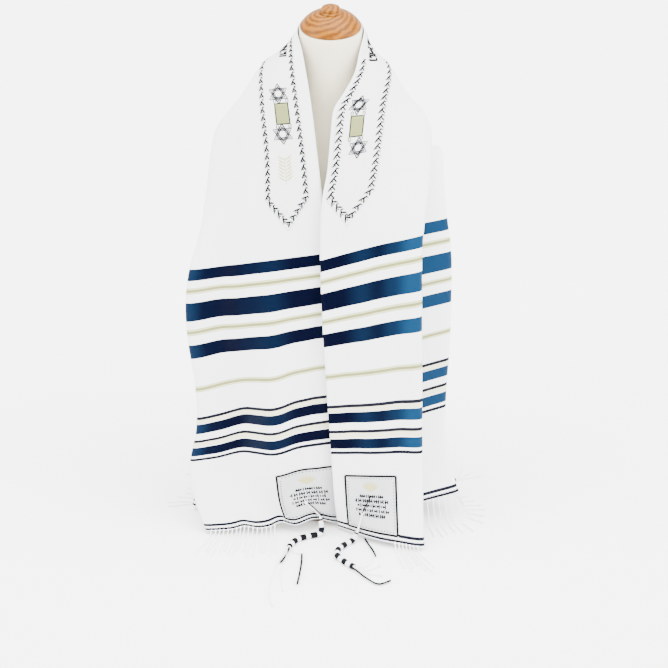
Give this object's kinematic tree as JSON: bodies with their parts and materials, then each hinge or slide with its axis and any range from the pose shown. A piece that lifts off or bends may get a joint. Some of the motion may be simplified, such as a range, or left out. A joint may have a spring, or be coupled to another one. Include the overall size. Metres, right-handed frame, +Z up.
{
  "type": "striped prayer shawl on a limbless dress form",
  "caption": "Fringed prayer shawl with wide and narrow stripes, neckband, corner patches and wound corner tassels, worn over a table-top dress form.",
  "frame": {"origin": "centre of the underside of the dress form's round foot, on the surface it stands on", "axes": "+Z up along the form's pole, the open front of the shawl faces -Y, +X to the viewer's right"},
  "size_m": [0.5522, 0.4651, 0.8325],
  "materials": {
    "white_cloth": "matt woven wool look, with blue and pale gold woven stripes",
    "satin_band": "pale grey satin with a woven border",
    "patch_cloth": "pale grey satin with a woven border",
    "white_cord": "white twisted cord, with dark windings on the tassels",
    "cream_jersey": "cream jersey stretched over the form",
    "honey_wood": "turned wood with clear lacquer",
    "steel": "brushed"
  },
  "bodies": {
    "root": {"shawl": "white_cloth", "neckband": "satin_band", "patch_left_inner": "patch_cloth", "patch_left_outer": "patch_cloth", "patch_right_inner": "patch_cloth", "patch_right_outer": "patch_cloth", "fringe_left_front": "white_cord", "fringe_left_side": "white_cord", "fringe_right_front": "white_cord", "fringe_right_side": "white_cord", "tassel_left_inner": "white_cord", "tassel_left_outer": "white_cord", "tassel_right_inner": "white_cord", "tassel_right_outer": "white_cord", "form_torso": "cream_jersey", "neck_cap": "honey_wood", "foot": "honey_wood", "pole": "steel"}
  },
  "joints": []
}
